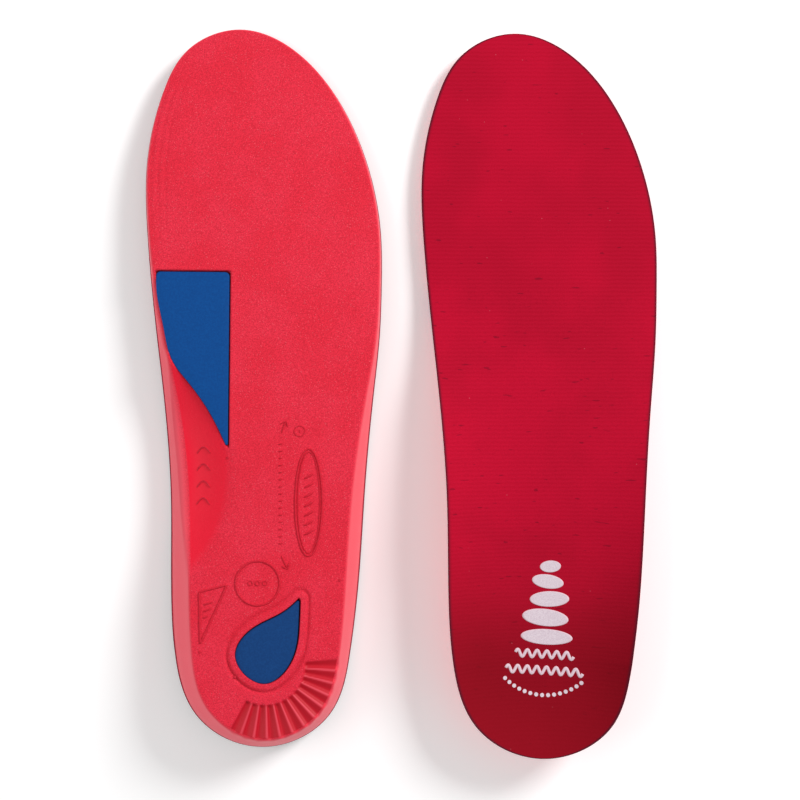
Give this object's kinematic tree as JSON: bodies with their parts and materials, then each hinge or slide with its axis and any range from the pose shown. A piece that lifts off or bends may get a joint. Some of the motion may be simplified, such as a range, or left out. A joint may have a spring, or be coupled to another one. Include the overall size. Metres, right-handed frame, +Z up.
{
  "type": "cushioned insole pair",
  "caption": "Matched left and right full-length moulded foam insoles with heel cups, arch support, soft inset plugs and fabric covers; the left one is turned over.",
  "frame": {"origin": "middle of the pair's box, on the surface that the pair lies on", "axes": "+Y from the heels to the toes, +X to the right insole's outer side, +Z up"},
  "size_m": [0.1886, 0.267, 0.0246],
  "materials": {
    "foam_shell": "moulded EVA foam with a fine pebbled skin, red",
    "cushion_backing": "thin open-cell foam, dark red",
    "top_cover": "smooth brushed knit, crimson",
    "first_ray_plug": "soft foam, blue",
    "heel_plug": "soft foam, deeper blue",
    "print": "screen-printed ink, pale grey"
  },
  "bodies": {
    "right_insole": {"right_foam_shell": "foam_shell", "right_cushion_backing": "cushion_backing", "right_top_cover": "top_cover", "right_first_ray_plug": "first_ray_plug", "right_heel_plug": "heel_plug", "right_heel_print": "print"},
    "right_toe": {"right_foam_shell_toe": "foam_shell", "right_cushion_backing_toe": "cushion_backing", "right_top_cover_toe": "top_cover"},
    "left_insole": {"left_foam_shell": "foam_shell", "left_cushion_backing": "cushion_backing", "left_top_cover": "top_cover", "left_first_ray_plug": "first_ray_plug", "left_heel_plug": "heel_plug", "left_heel_print": "print"},
    "left_toe": {"left_foam_shell_toe": "foam_shell", "left_cushion_backing_toe": "cushion_backing", "left_top_cover_toe": "top_cover"}
  },
  "joints": [
    {"name": "right_toe_flex", "type": "hinge", "parent": "right_insole", "child": "right_toe", "pos_m": [0.051, 0.04459, 0.0054], "axis": [0.9744, -0.225, 0], "range_deg": [0, 40], "stiffness_Nm_per_rad": 0.06},
    {"name": "left_lift", "type": "slide", "parent": "right_insole", "child": "left_insole", "axis": [0, 0, 1], "range_m": [0, 0.06]},
    {"name": "left_toe_flex", "type": "hinge", "parent": "left_insole", "child": "left_toe", "pos_m": [-0.05038, 0.04713, 0.01184], "axis": [0.9729, -0.2283, -0.0365], "range_deg": [0, 40], "stiffness_Nm_per_rad": 0.06}
  ]
}
